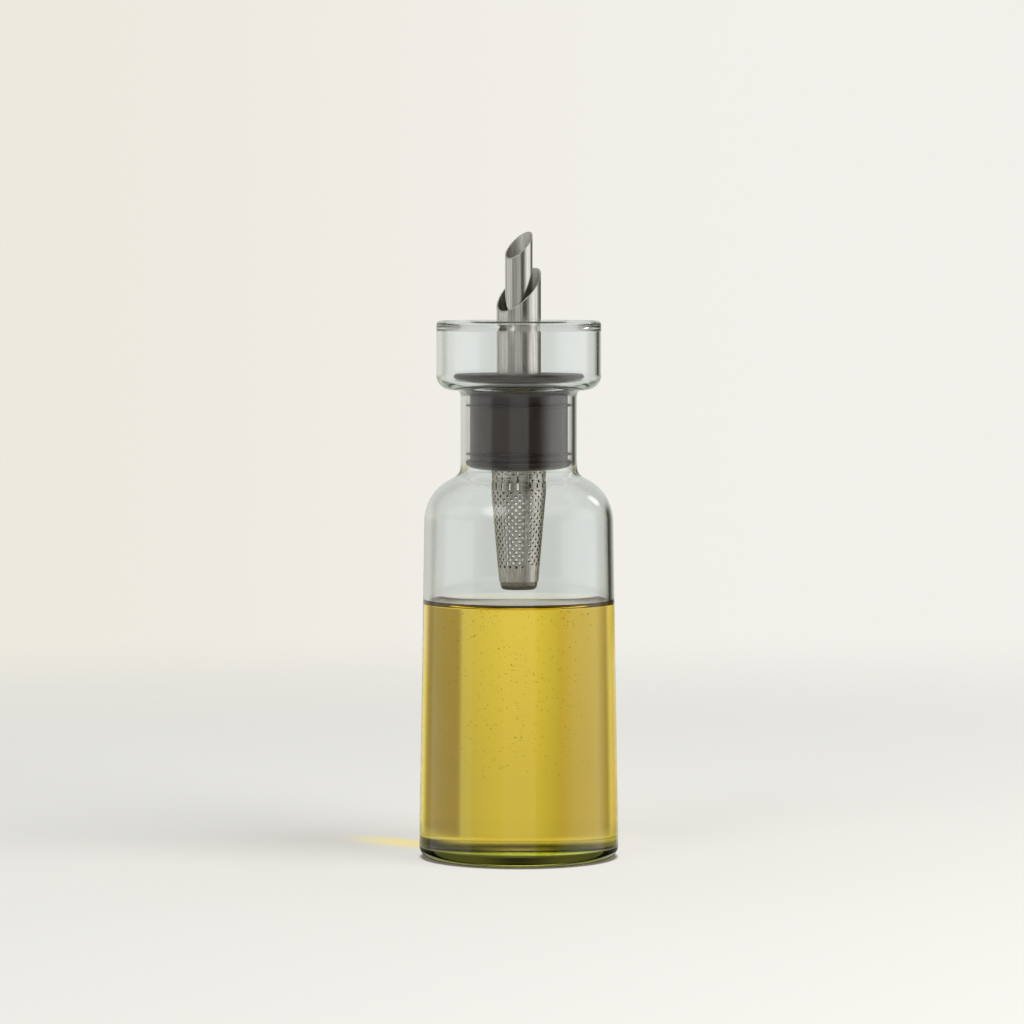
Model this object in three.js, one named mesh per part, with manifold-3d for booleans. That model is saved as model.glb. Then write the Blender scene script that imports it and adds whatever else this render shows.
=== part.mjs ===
// Oil dispenser: a blown glass bottle with a drip cup round its mouth, a silicone stopper that carries
// a double steel pouring spout, and a perforated herb infuser that hangs under the stopper.
// Millimetres, +Z up. The origin is the centre of the foot, on the table.
import * as THREE from "three";
import { mergeVertices } from "three/addons/utils/BufferGeometryUtils.js";
import Module from "manifold-3d";

const wasm = await Module();
wasm.setup();

// Clearances between pieces
const seatGap = 0.3; // between two faces that rest on each other
const fitGap = 0.3; // on the radius, between a round piece and its bore

// Bottle: foot and body
const footRadius = 33.5; // outside, just above the rounded edge of the foot
const footRounding = 4;
const footRingWidth = 4.5; // flat ring that stands on the table
const footHollow = 0.8; // rise of the underside in the middle
const baseThickness = 3.3; // from the table to the floor of the inside
const floorRounding = 2.6;
const bodyWall = 1.9;
const bodyHeight = 113.2; // from the table to where the shoulder starts to curve
const bodyTopRadius = 31.7; // outside, where the shoulder starts to curve
const shoulderRounding = 15.5;

// Bottle: neck and drip cup
const neckRadius = 19.5;
const neckWall = 1.5;
const neckFillet = 3.5; // between the shoulder and the neck, outside
const neckLength = 28.4; // from the top of the shoulder's curve to the underside of the cup
const cupRadius = 27.6;
const cupWall = 1.4;
const cupFloorThickness = 2;
const cupHeight = 23.2; // from the cup's underside to its rim
const cupRounding = 5; // lower edge of the cup, outside
const cupFillet = 2; // between the neck and the cup's underside
const mouthRounding = 2.5; // edge between the cup's floor and the bore of the neck
const rimBead = 2.6; // thickness of the fire-polished rim
const beadBlend = 2; // height over which the bead runs out into the cup's wall

// Oil
const oilClearance = 5.5; // from the end of the infuser down to the oil's surface

// Silicone stopper
const drainGap = 4.3; // between the flange and the wall of the cup, for drips
const flangeThickness = 3.1;
const flangeRounding = 1.1;
const plugGap = 1.6; // between the plug and the bore of the neck, which the lips bridge
const plugLength = 29.3; // from the underside of the flange to the nose
const plugFillet = 2.5;
const lipRoot = 1.3; // height of a sealing lip where it leaves the plug
const lipTip = 0.5;
const upperLipDrop = 7.4; // from the underside of the flange to the middle of the lip
const lowerLipDrop = 23.7;
const noseLipDrop = 26.1;
const noseWall = 1.6; // silicone round the socket, at the face of the nose
const socketDepth = 7; // recess in the nose that holds the infuser

// Spout: a pour tube inside a drip return tube, both cut at a slant
const returnTubeRadius = 7.45;
const returnTubeWall = 0.5;
const returnTubeRise = 28; // from the stopper's top to the middle of the slanted mouth
const returnTubeReach = 3; // below the shelf of the infuser's socket
const pourTubeRadius = 4.6;
const pourTubeWall = 0.45;
const pourTubeRise = 42.9;
const pourTubeReach = 3; // below the end of the return tube
const mouthSlant = 45; // degrees from level, rising towards +X
const spacerHeight = 8;
const spacerRing = 0.6; // thickness of the ring round the pour tube
const spacerLegCount = 3;
const spacerLegWidth = 1.6;

// Infuser: a tapered sleeve of perforated sheet, closed by a pressed cap
const infuserRadius = 9.2;
const infuserEndRadius = 6.65;
const infuserSheet = 0.4;
const infuserStraight = 13.5; // from the rim to where the taper starts
const infuserTaper = 30.4; // height of the tapered part
const plainBand = 4.9; // unperforated band above the cap
const panelCount = 41; // flat panels round the sleeve: a plain one at the weld, and holes in every other one of a row
const weldTurn = -115; // degrees from the spout's tips round to the weld
const holeRadius = 0.44;
const rowPitch = 2;
const collarRowsDrop = 6.3; // from the rim to the first row of the collar
const collarRowCount = 2;
const slotDrop = 10.6; // from the rim to the middle of the row of slots
const slotHeight = 2.9;
const slotWidth = 0.7;
const capProud = 2.7; // height of the cap that shows below the sleeve
const capSheet = 0.6;
const capSkirt = 3.5; // height of the cap inside the sleeve
const capLedge = 0.3; // ledge that butts on the sleeve's edge
const capRounding = 1.3; // how far the cap's lower edge runs in, and how high it starts
const capRoundingRise = 2;

// Facets of a full turn
const glassFacets = 42;
const stopperFacets = 36;
const tubeFacets = 32;

// Sizes and heights that follow from the ones above
const neckBore = neckRadius - neckWall;
const cupBore = cupRadius - cupWall;
const cupUnderside = bodyHeight + shoulderRounding + neckLength;
const cupFloor = cupUnderside + cupFloorThickness;
const rimHeight = cupUnderside + cupHeight;
const stopperSeat = cupFloor + seatGap;
const plugRadius = neckBore - plugGap;
const lipRadius = neckBore - fitGap;
const tubeBore = returnTubeRadius + fitGap;
const socketRadius = infuserRadius + fitGap;
const socketShelf = socketDepth - plugLength; // below the underside of the flange
const infuserHang = stopperSeat + socketShelf - seatGap; // height of the infuser's rim
const taperEnd = -infuserStraight - infuserTaper; // lower edge of the sleeve, from its rim
const oilLevel = infuserHang + taperEnd - capProud - oilClearance;

const at = (radius, height) => new THREE.Vector2(radius, height);

// Points on an arc of a profile. Angles are in degrees: 0 points away from the axis and 90 points up.
function arc(radius, height, bend, from, to, steps, bendUp = bend) {
  const [start, end] = [from, to].map(THREE.MathUtils.degToRad);
  const curve = new THREE.EllipseCurve(radius, height, bend, bendUp, start, end, end < start);
  return curve.getPoints(steps);
}

// A body of revolution about Z. Its half profile runs anticlockwise in (radius, height).
function revolve(profile, facets) {
  const sameSpot = 1e-4;
  const points = profile.filter((p, i) => i === 0 || p.distanceTo(profile[i - 1]) > sameSpot);
  return new THREE.LatheGeometry(points, facets).rotateX(Math.PI / 2);
}

// A closed profile ends where it starts, so that its revolution is a ring with a bore.
const closed = (profile) => [...profile, profile[0].clone()];

function solidOf(geometry) {
  const bare = new THREE.BufferGeometry().setAttribute("position", geometry.getAttribute("position"));
  const merged = mergeVertices(bare.setIndex(geometry.getIndex()));
  return new wasm.Manifold(
    new wasm.Mesh({
      numProp: 3,
      vertProperties: merged.getAttribute("position").array,
      triVerts: new Uint32Array(merged.getIndex().array),
    }),
  );
}

function geometryOf(solid) {
  const { vertProperties, triVerts } = solid.getMesh();
  const geometry = new THREE.BufferGeometry();
  geometry.setAttribute("position", new THREE.BufferAttribute(vertProperties, 3));
  return geometry.setIndex(new THREE.BufferAttribute(triVerts, 1));
}

function piece(name, geometry, material) {
  geometry.computeVertexNormals();
  const mesh = new THREE.Mesh(geometry, material);
  mesh.name = name;
  return mesh;
}

const glass = new THREE.MeshStandardMaterial({
  color: 0xcfd8d4,
  roughness: 0.03,
  metalness: 0,
  transparent: true,
  opacity: 0.35,
});
const oil = new THREE.MeshStandardMaterial({
  color: 0xb9a52c,
  roughness: 0.05,
  metalness: 0,
  transparent: true,
  opacity: 0.8,
});
const silicone = new THREE.MeshStandardMaterial({ color: 0x4a4643, roughness: 0.55, metalness: 0 });
const brushedSteel = new THREE.MeshStandardMaterial({ color: 0xb8b6b1, roughness: 0.28, metalness: 1 });
const etchedSteel = new THREE.MeshStandardMaterial({ color: 0x9b9890, roughness: 0.38, metalness: 1 });

// Centre of the fillet that joins the shoulder's curve to the neck, and where it leaves the curve.
function shoulderFillet(curveRadius, curveCentre, neck, fillet) {
  const across = neck + fillet - curveCentre;
  const up = Math.sqrt((curveRadius + fillet) ** 2 - across ** 2);
  return { radius: neck + fillet, height: bodyHeight + up, angle: THREE.MathUtils.radToDeg(Math.atan2(up, across)) };
}

function bottle() {
  const curveCentre = bodyTopRadius - shoulderRounding;
  const outer = shoulderFillet(shoulderRounding, curveCentre, neckRadius, neckFillet);
  const innerCurve = shoulderRounding - bodyWall;
  const innerFillet = neckFillet + neckWall;
  const inner = shoulderFillet(innerCurve, curveCentre, neckBore, innerFillet);
  const footFlat = footRadius - footRounding;
  const footBore = footRadius - bodyWall;
  const cupEdge = cupRadius - cupRounding;
  const cupCorner = cupUnderside + cupRounding;
  const bead = rimBead / 2;
  return revolve(
    [
      // underside and outside of the body
      at(0, footHollow),
      at((footFlat - footRingWidth) / 2, footHollow * 0.75),
      at(footFlat - footRingWidth, 0),
      ...arc(footFlat, footRounding, footRounding, -90, 0, 4),
      ...arc(curveCentre, bodyHeight, shoulderRounding, 0, outer.angle, 6),
      ...arc(outer.radius, outer.height, neckFillet, outer.angle - 180, -180, 2),
      // neck and cup outside
      ...arc(neckRadius + cupFillet, cupUnderside - cupFillet, cupFillet, 180, 90, 2),
      ...arc(cupEdge, cupCorner, cupRounding, -90, 0, 4),
      ...arc(cupRadius - bead, rimHeight - bead, bead, 0, 180, 5),
      // cup and neck inside
      at(cupBore, rimHeight - bead - beadBlend),
      ...arc(cupEdge, cupCorner, cupRounding - cupWall, 0, -90, 3, cupCorner - cupFloor),
      ...arc(neckBore + mouthRounding, cupFloor - mouthRounding, mouthRounding, 90, 180, 3),
      // shoulder and body inside
      ...arc(inner.radius, inner.height, innerFillet, -180, inner.angle - 180, 2),
      ...arc(curveCentre, bodyHeight, innerCurve, inner.angle, 0, 5),
      ...arc(footBore - floorRounding, baseThickness + floorRounding, floorRounding, 0, -90, 2),
      at(0, baseThickness),
    ],
    glassFacets,
  );
}

function oilFill() {
  const wallRun = (bodyTopRadius - footRadius) / (bodyHeight - footRounding);
  const bottom = baseThickness + seatGap;
  const edge = footRadius - bodyWall - fitGap - floorRounding;
  const surfaceRadius = footRadius + wallRun * (oilLevel - footRounding) - bodyWall - fitGap;
  return revolve(
    [
      at(0, bottom),
      ...arc(edge, bottom + floorRounding, floorRounding, -90, 0, 2),
      at(surfaceRadius, oilLevel),
      at(0, oilLevel),
    ],
    glassFacets,
  );
}

// The stopper's own zero height is the underside of its flange.
function stopper() {
  const flangeRadius = cupBore - drainGap;
  const lip = (drop) => [
    at(plugRadius, -drop - lipRoot / 2),
    at(lipRadius, -drop - lipTip / 2),
    at(lipRadius, -drop + lipTip / 2),
    at(plugRadius, -drop + lipRoot / 2),
  ];
  const noseRadius = socketRadius + noseWall;
  const noseLip = -noseLipDrop - lipTip / 2;
  const flangeEdge = flangeRadius - flangeRounding;
  return revolve(
    closed([
      // nose, rounded up to the lowest lip
      at(socketRadius, -plugLength),
      ...arc(noseRadius, noseLip, lipRadius - noseRadius, -90, 0, 4, noseLip + plugLength),
      ...lip(noseLipDrop).slice(2),
      ...lip(lowerLipDrop),
      ...lip(upperLipDrop),
      // flange
      ...arc(plugRadius + plugFillet, -plugFillet, plugFillet, 180, 90, 2),
      ...arc(flangeEdge, flangeRounding, flangeRounding, -90, 0, 2),
      ...arc(flangeEdge, flangeThickness - flangeRounding, flangeRounding, 0, 90, 2),
      // bore of the tubes and socket of the infuser
      at(tubeBore, flangeThickness),
      at(tubeBore, socketShelf),
      at(socketRadius, socketShelf),
    ]),
    stopperFacets,
  );
}

// A tube whose top is cut off by a slanted plane. Its zero height is the top of the stopper.
function slantedTube(radius, wall, rise, end) {
  const tan = Math.tan(THREE.MathUtils.degToRad(mouthSlant));
  const top = rise + 2 * radius * tan;
  const blank = revolve(
    closed([at(radius - wall, end), at(radius, end), at(radius, top), at(radius - wall, top)]),
    tubeFacets,
  );
  const side = 4 * (top - end);
  const cutter = new THREE.BoxGeometry(side, side, side)
    .translate(0, 0, side / 2)
    .rotateY(-THREE.MathUtils.degToRad(mouthSlant))
    .translate(0, 0, rise);
  return geometryOf(solidOf(blank).subtract(solidOf(cutter)));
}

// A ring on the pour tube whose legs keep it in the middle of the return tube.
function spacer() {
  const inner = pourTubeRadius + fitGap;
  const ring = inner + spacerRing;
  const tip = returnTubeRadius - returnTubeWall - fitGap;
  const halfLeg = spacerLegWidth / 2;
  const outline = new THREE.Shape();
  for (let leg = 0; leg < spacerLegCount; leg += 1) {
    const middle = (leg * 2 * Math.PI) / spacerLegCount;
    const next = ((leg + 1) * 2 * Math.PI) / spacerLegCount;
    const atTip = Math.asin(halfLeg / tip);
    const atRing = Math.asin(halfLeg / ring);
    outline.absarc(0, 0, tip, middle - atTip, middle + atTip);
    outline.absarc(0, 0, ring, middle + atRing, next - atRing);
  }
  outline.closePath();
  outline.holes.push(new THREE.Path().absarc(0, 0, inner, 0, 2 * Math.PI, true));
  return new THREE.ExtrudeGeometry(outline, { depth: spacerHeight, bevelEnabled: false, curveSegments: 5 });
}

// The infuser's own zero height is its rim, and it hangs down from there.
function sleeveRadius(height) {
  const share = THREE.MathUtils.clamp((height + infuserStraight) / -infuserTaper, 0, 1);
  return THREE.MathUtils.lerp(infuserRadius, infuserEndRadius, share);
}

// The sleeve is a ring of flat panels, so that every opening lies in one panel.
const halfPanel = Math.PI / panelCount;

// A point of one panel, from its distance across the panel and its height.
function onPanel(panel, across, height, depth) {
  const radius = sleeveRadius(height);
  const shrink = (radius - depth) / radius;
  const middle = new THREE.Vector3(radius * Math.cos(halfPanel) * shrink, across * shrink, height);
  const turn = THREE.MathUtils.degToRad(weldTurn) + panel * 2 * halfPanel;
  return middle.applyAxisAngle(new THREE.Vector3(0, 0, 1), turn);
}

// Openings as anticlockwise loops of (across, height)
const hole = (height) => [
  at(holeRadius, height),
  at(0, height + holeRadius),
  at(-holeRadius, height),
  at(0, height - holeRadius),
];
const slot = (height) => [
  at(slotWidth / 2, height - slotHeight / 2),
  at(slotWidth / 2, height + slotHeight / 2),
  at(-slotWidth / 2, height + slotHeight / 2),
  at(-slotWidth / 2, height - slotHeight / 2),
];

// Adds the triangles of one panel between two heights: its outer and inner face, its openings' walls
// and, where it ends the sleeve, its edge.
function addPanel(triangles, panel, bottom, top, openings) {
  const outside = (p) => onPanel(panel, p.x, p.y, 0);
  const inside = (p) => onPanel(panel, p.x, p.y, infuserSheet);
  const wall = (p, q) => triangles.push(outside(p), outside(q), inside(q), outside(p), inside(q), inside(p));
  const halfWidth = (height) => sleeveRadius(height) * Math.sin(halfPanel);
  const corners = [
    at(-halfWidth(bottom), bottom),
    at(halfWidth(bottom), bottom),
    at(halfWidth(top), top),
    at(-halfWidth(top), top),
  ];
  const sheet = new THREE.Shape(corners);
  sheet.holes = openings.map((loop) => new THREE.Path(loop));
  const flat = new THREE.ShapeGeometry(sheet);
  const points = flat.getAttribute("position");
  const corner = (i) => at(points.getX(flat.index.getX(i)), points.getY(flat.index.getX(i)));
  for (let i = 0; i < flat.index.count; i += 3) {
    const [a, b, c] = [corner(i), corner(i + 1), corner(i + 2)];
    triangles.push(outside(a), outside(b), outside(c), inside(a), inside(c), inside(b));
  }
  for (const loop of openings) loop.forEach((p, i) => wall(p, loop[(i + 1) % loop.length]));
  if (top === 0) wall(corners[3], corners[2]);
  if (bottom === taperEnd) wall(corners[1], corners[0]);
}

function sieve() {
  const collar = Array.from({ length: collarRowCount }, (_, row) => -collarRowsDrop - row * rowPitch);
  const firstRow = -slotDrop - slotHeight / 2 - rowPitch;
  const lastRow = taperEnd + plainBand + holeRadius;
  const rowCount = Math.floor((firstRow - lastRow) / rowPitch) + 1;
  const taper = Array.from({ length: rowCount }, (_, row) => firstRow - row * rowPitch);
  const staggered = (rows, panel) => rows.filter((_, row) => panel > 0 && (row + panel) % 2 === 0).map(hole);
  const triangles = [];
  for (let panel = 0; panel < panelCount; panel += 1) {
    const slots = panel % 2 === 1 ? [slot(-slotDrop)] : [];
    addPanel(triangles, panel, -infuserStraight, 0, [...staggered(collar, panel), ...slots]);
    addPanel(triangles, panel, taperEnd, -infuserStraight, staggered(taper, panel));
  }
  return mergeVertices(new THREE.BufferGeometry().setFromPoints(triangles));
}

function endCap() {
  const ledge = taperEnd - seatGap;
  const foot = taperEnd - capProud;
  const skirt = infuserEndRadius - infuserSheet - fitGap;
  const belly = skirt + capLedge;
  return revolve(
    [
      at(0, foot),
      ...arc(belly - capRounding, foot + capRoundingRise, capRounding, -90, 0, 3, capRoundingRise),
      at(belly, ledge),
      at(skirt, ledge),
      at(skirt, ledge + capSkirt),
      at(skirt - capSheet, ledge + capSkirt),
      at(skirt - capSheet, foot + capSheet),
      at(0, foot + capSheet),
    ],
    tubeFacets,
  );
}

const filledBottle = new THREE.Group();
filledBottle.add(piece("glass_bottle", bottle(), glass), piece("oil_fill", oilFill(), oil));

const spout = new THREE.Group();
spout.position.z = flangeThickness;
const returnTubeEnd = socketShelf - flangeThickness - returnTubeReach;
const tubeSpacer = piece("tube_spacer", spacer(), brushedSteel);
tubeSpacer.position.z = socketShelf - flangeThickness;
spout.add(
  piece(
    "drip_return_tube",
    slantedTube(returnTubeRadius, returnTubeWall, returnTubeRise, returnTubeEnd),
    brushedSteel,
  ),
  piece(
    "pour_tube",
    slantedTube(pourTubeRadius, pourTubeWall, pourTubeRise, returnTubeEnd - pourTubeReach),
    brushedSteel,
  ),
  tubeSpacer,
);

const infuser = new THREE.Group();
infuser.position.z = infuserHang - stopperSeat;
infuser.add(piece("infuser_sieve", sieve(), etchedSteel), piece("infuser_end_cap", endCap(), etchedSteel));

const pourer = new THREE.Group();
pourer.position.z = stopperSeat;
pourer.add(piece("silicone_stopper", stopper(), silicone), spout, infuser);

const dispenser = new THREE.Group();
dispenser.add(filledBottle, pourer);

export default dispenser;
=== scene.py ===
# A table oil dispenser: a glass bottle of oil, and a stopper that carries a steel spout and a herb infuser.
import math
import random

import bpy
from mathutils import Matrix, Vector
from mathutils.geometry import tessellate_polygon


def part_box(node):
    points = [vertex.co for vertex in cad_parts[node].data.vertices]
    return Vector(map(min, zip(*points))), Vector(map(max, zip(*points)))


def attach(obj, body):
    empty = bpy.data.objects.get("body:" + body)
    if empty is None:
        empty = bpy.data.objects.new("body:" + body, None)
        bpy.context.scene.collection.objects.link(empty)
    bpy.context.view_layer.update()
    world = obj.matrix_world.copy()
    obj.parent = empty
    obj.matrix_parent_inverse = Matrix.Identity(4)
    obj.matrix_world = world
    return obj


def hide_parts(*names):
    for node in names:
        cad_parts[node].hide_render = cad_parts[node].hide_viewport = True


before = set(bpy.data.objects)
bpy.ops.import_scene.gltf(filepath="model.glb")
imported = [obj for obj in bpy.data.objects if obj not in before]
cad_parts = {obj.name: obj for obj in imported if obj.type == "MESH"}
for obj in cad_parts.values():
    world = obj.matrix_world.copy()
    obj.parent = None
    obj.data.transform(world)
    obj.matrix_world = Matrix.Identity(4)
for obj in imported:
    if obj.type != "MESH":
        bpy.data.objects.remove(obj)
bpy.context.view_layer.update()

# Glass bottle
# One piece of clear borosilicate glass, blown and then flame-worked: a straight body on a heavy foot, a round
# shoulder, a narrow neck, and a wide drip cup whose rim is melted round. It stands on a flat ring.
MM = 0.001
foot_radius = 33.5
foot_rounding = 4.0
foot_ring = 4.5
foot_hollow = 0.8
base_thickness = 3.3
floor_rounding = 2.6
body_wall = 1.9
body_height = 113.2
body_top_radius = 31.7
shoulder_rounding = 15.5
neck_radius = 19.5
neck_wall = 1.5
neck_fillet = 3.5
neck_ease = 4.0  # how far up the neck the eased bends of the shoulder run
cup_underside = 157.1
cup_radius = 27.6
cup_wall = 1.4
cup_floor_thickness = 2.0
cup_rounding = 5.0
cup_fillet = 2.0
mouth_rounding = 2.5
rim_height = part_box("glass_bottle")[1].z / MM
rim_bead = 2.6
bead_blend = 2.0
oil_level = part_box("oil_fill")[1].z / MM
meniscus_rise = 2.2
glass_tint = "adc0aa"
glass_density = 30.0
glass_ior = 1.47
smeared = 0.8  # how nearly the smear that the foot stands in hides its rounded edge, where oil hides it fully
# Below this height the foot's rounded edge is tinted brown, as painted shade where the foot meets the table.
foot_shade_height = 1.6
foot_shade_tint = "cbbc7c"
# A dark olive ring tinted into the inner floor is painted shade, so the thick base looks dark.
base_shade_tint = "3c3d19"
base_shade_middle = 14.0  # radius of the ring where the painted shade on the inner floor is darkest
base_shade_spread = 9.0
base_shade_rings = (26.0, 22.0, 18.0, 14.0, 10.0, 6.0)  # radii of the inner floor at which the colour of the painted shade is set
touching = 0.01


def arc(radius, height, bend, start, end, steps, bend_up=None):
    """Points on an arc of a profile. 0 degrees points away from the axis, and 90 points up."""
    bend_up = bend if bend_up is None else bend_up
    turns = [math.radians(start + (end - start) * i / steps) for i in range(steps + 1)]
    return [(radius + bend * math.cos(t), height + bend_up * math.sin(t)) for t in turns]


def eased(points, reach=1.1, step=0.4):
    """The same run of a profile with its bends eased into each other, as in blown glass. Its ends stay."""
    line = [Vector(p) for p in points]
    spots = [line[0]]
    for a, b in zip(line, line[1:]):
        parts = max(1, round((b - a).length / step))
        spots += [a.lerp(b, (i + 1) / parts) for i in range(parts)]
    run = [0.0]
    for a, b in zip(spots, spots[1:]):
        run.append(run[-1] + (b - a).length)
    soft = []
    for here in run:
        width = min(reach, here / 2, (run[-1] - here) / 2) + 1e-6
        shares = [math.exp(-(((there - here) / width) ** 2) / 2) for there in run]
        middle = sum((p * w for p, w in zip(spots, shares)), Vector((0, 0))) / sum(shares)
        soft.append(tuple(middle))
    return soft


def held_straight(profile, hold=0.25, least=1.5):
    """The profile with extra points beside the ends of each long run, so that shading keeps it straight."""
    points = [profile[0]]
    for (r0, z0), (r1, z1) in zip(profile, profile[1:]):
        run = math.hypot(r1 - r0, z1 - z0)
        if run > least:
            for share in (hold / run, 1 - hold / run):
                points.append((r0 + (r1 - r0) * share, z0 + (z1 - z0) * share))
        points.append((r1, z1))
    return points


def new_object(name, verts, faces, sharp_angle):
    """A smooth-shaded mesh object from points in millimetres, with edges over the angle kept sharp."""
    mesh = bpy.data.meshes.new(name)
    mesh.from_pydata([tuple(c * MM for c in v) for v in verts], [], faces)
    mesh.shade_smooth()
    mesh.set_sharp_from_angle(angle=math.radians(sharp_angle))
    obj = bpy.data.objects.new(name, mesh)
    bpy.context.scene.collection.objects.link(obj)
    return obj


def revolve(name, profile, facets=192, ring=False, sharp_angle=35):
    """Turns a half profile of (radius, height), drawn anticlockwise, about Z. A ring closes on its start."""
    verts, rows = [], []
    for radius, height in held_straight(profile):
        if radius == 0:
            rows.append([len(verts)] * facets)
            verts.append((0, 0, height))
            continue
        rows.append(range(len(verts), len(verts) + facets))
        turns = [2 * math.pi * i / facets for i in range(facets)]
        verts += [(radius * math.cos(t), radius * math.sin(t), height) for t in turns]
    pairs = list(zip(rows, rows[1:])) + ([(rows[-1], rows[0])] if ring else [])
    faces = []
    for low, high in pairs:
        for i in range(facets):
            j = (i + 1) % facets
            faces.append(tuple(dict.fromkeys((low[i], low[j], high[j], high[i]))))
    return new_object(name, verts, faces, sharp_angle)


def bore_at(height):
    """Inner radius of the bottle's straight body at a height."""
    share = (height - foot_rounding) / (body_height - foot_rounding)
    return foot_radius + (body_top_radius - foot_radius) * share - body_wall


def shoulder_fillet(curve, neck, fillet):
    """Centre of the fillet between the shoulder's curve and the neck, and the angle where they meet."""
    across = neck + fillet - (body_top_radius - shoulder_rounding)
    up = math.sqrt((curve + fillet) ** 2 - across**2)
    return neck + fillet, body_height + up, math.degrees(math.atan2(up, across))


foot_flat = foot_radius - foot_rounding
foot_bore = foot_radius - body_wall
hollow_edge = foot_flat - foot_ring
wet_line = oil_level + meniscus_rise
curve_centre = body_top_radius - shoulder_rounding
inner_curve = shoulder_rounding - body_wall
inner_fillet = neck_fillet + neck_wall
neck_bore = neck_radius - neck_wall
out_r, out_z, out_turn = shoulder_fillet(shoulder_rounding, neck_radius, neck_fillet)
in_r, in_z, in_turn = shoulder_fillet(inner_curve, neck_bore, inner_fillet)
cup_bore = cup_radius - cup_wall
cup_floor = cup_underside + cup_floor_thickness
cup_edge = cup_radius - cup_rounding
cup_corner = cup_underside + cup_rounding
bead = rim_bead / 2
glass_profile = [
    *[(hollow_edge * share, foot_hollow * (1 - share**2)) for share in (0, 0.5, 0.8, 1)],
    *arc(foot_flat, foot_rounding, foot_rounding, -90, 0, 12),
    *eased(
        [
            *arc(curve_centre, body_height, shoulder_rounding, 0, out_turn, 24),
            *arc(out_r, out_z, neck_fillet, out_turn - 180, -180, 10)[1:],
            (neck_radius, out_z + neck_ease),
        ]
    ),
    *arc(neck_radius + cup_fillet, cup_underside - cup_fillet, cup_fillet, 180, 90, 10),
    *arc(cup_edge, cup_corner, cup_rounding, -90, 0, 14),
    *arc(cup_radius - bead, rim_height - bead, bead, 0, 180, 16),
    (cup_bore, rim_height - bead - bead_blend),
    *arc(cup_edge, cup_corner, cup_rounding - cup_wall, 0, -90, 10, cup_corner - cup_floor),
    *arc(neck_bore + mouth_rounding, cup_floor - mouth_rounding, mouth_rounding, 90, 180, 10),
    *eased(
        [
            (neck_bore, in_z + neck_ease),
            *arc(in_r, in_z, inner_fillet, -180, in_turn - 180, 10),
            *arc(curve_centre, body_height, inner_curve, in_turn, 0, 22)[1:],
        ]
    ),
    (bore_at(wet_line), wet_line),
    *arc(foot_bore - floor_rounding, base_thickness + floor_rounding, floor_rounding, 0, -90, 10),
    *[(radius, base_thickness) for radius in base_shade_rings],
    (0, base_thickness),
]
bottle = revolve("bottle_glass", glass_profile)


def mark_wet(obj, wetness):
    """Marks the faces where glass and oil touch, by the radius and height of their middles in millimetres."""
    wet = obj.data.attributes.new("wet", "FLOAT", "FACE")
    for face in obj.data.polygons:
        x, y, z = face.center / MM
        wet.data[face.index].value = float(wetness(math.hypot(x, y), z))


def glass_wetness(radius, height):
    """Full where oil touches the glass, and nearly so on the foot, which stands in a smear of oil."""
    if height < foot_hollow and radius < foot_flat:
        return 1.0
    if height < foot_rounding and radius > foot_flat:
        return smeared
    return base_thickness / 2 < height < wet_line and radius < bore_at(height) + body_wall / 2


mark_wet(bottle, glass_wetness)


def linear(code):
    """Linear colour of an sRGB hex code."""
    parts = [int(code[i : i + 2], 16) / 255 for i in (0, 2, 4)]
    return (*[c / 12.92 if c <= 0.04045 else ((c + 0.055) / 1.055) ** 2.4 for c in parts], 1.0)


def base_shade_colour(radius, height):
    """Colour that the glass passes where shade is painted: a dark olive ring on the inner floor, and a brown
    tint low on the foot's rounded edge.
    """
    if height < foot_shade_height and radius > foot_flat:
        return linear(foot_shade_tint)
    inside = radius < bore_at(height) + touching
    on_floor = inside and base_thickness - touching < height < base_thickness + floor_rounding
    thickness = math.exp(-(((radius - base_shade_middle) / base_shade_spread) ** 2)) if on_floor else 0.0
    return [c**thickness for c in linear(base_shade_tint)]


painted_base_shade = bottle.data.attributes.new("painted_base_shade", "FLOAT_COLOR", "POINT")
for point in bottle.data.vertices:
    x, y, z = point.co / MM
    painted_base_shade.data[point.index].color = base_shade_colour(math.hypot(x, y), z)


def new_material(name):
    """An empty material and its node tree."""
    material = bpy.data.materials.new(name)
    material.use_nodes = True
    material.node_tree.nodes.clear()
    return material, material.node_tree


def add(tree, kind, inputs=None, stops=None, **settings):
    """Adds a shader node with its settings. An input is a value, or another node's output to link. The
    stops of a colour ramp are pairs of a place and a colour."""
    node = tree.nodes.new("ShaderNode" + kind)
    for name, value in settings.items():
        setattr(node, name, value)
    for name, value in (inputs or {}).items():
        if isinstance(value, bpy.types.NodeSocket):
            tree.links.new(value, node.inputs[name])
        else:
            node.inputs[name].default_value = value
    if stops:
        ramp = node.color_ramp.elements
        ramp.remove(ramp[1])
        ramp[0].position, ramp[0].color = stops[0]
        for place, colour in stops[1:]:
            ramp.new(place).color = colour
    return node


def clear_liquid_or_glass(name, tint, density, with_painted_shade=False):
    """Clear matter that takes some colours away with depth. Where it is wet, glass and oil bend light alike,
    so the face between them bends nothing and reflects nothing. Painted shade on it, where it is given, tints
    the light that passes."""
    matter, tree = new_material(name)
    clear = add(tree, "BsdfPrincipled", {"Roughness": 0.0, "IOR": glass_ior, "Transmission Weight": 1.0})
    clear.inputs["Base Color"].default_value = (1, 1, 1, 1)
    wet = add(tree, "Attribute", attribute_name="wet")
    bend = add(tree, "MapRange", {"Value": wet.outputs["Fac"], "To Min": glass_ior, "To Max": 1.0})
    tree.links.new(bend.outputs["Result"], clear.inputs["IOR"])
    if with_painted_shade:
        painted_shade_node = add(tree, "Attribute", attribute_name="painted_base_shade")
        tree.links.new(painted_shade_node.outputs["Color"], clear.inputs["Base Color"])
    depth = add(tree, "VolumeAbsorption", {"Color": linear(tint), "Density": density})
    add(tree, "OutputMaterial", {"Surface": clear.outputs[0], "Volume": depth.outputs[0]})
    return matter


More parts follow.
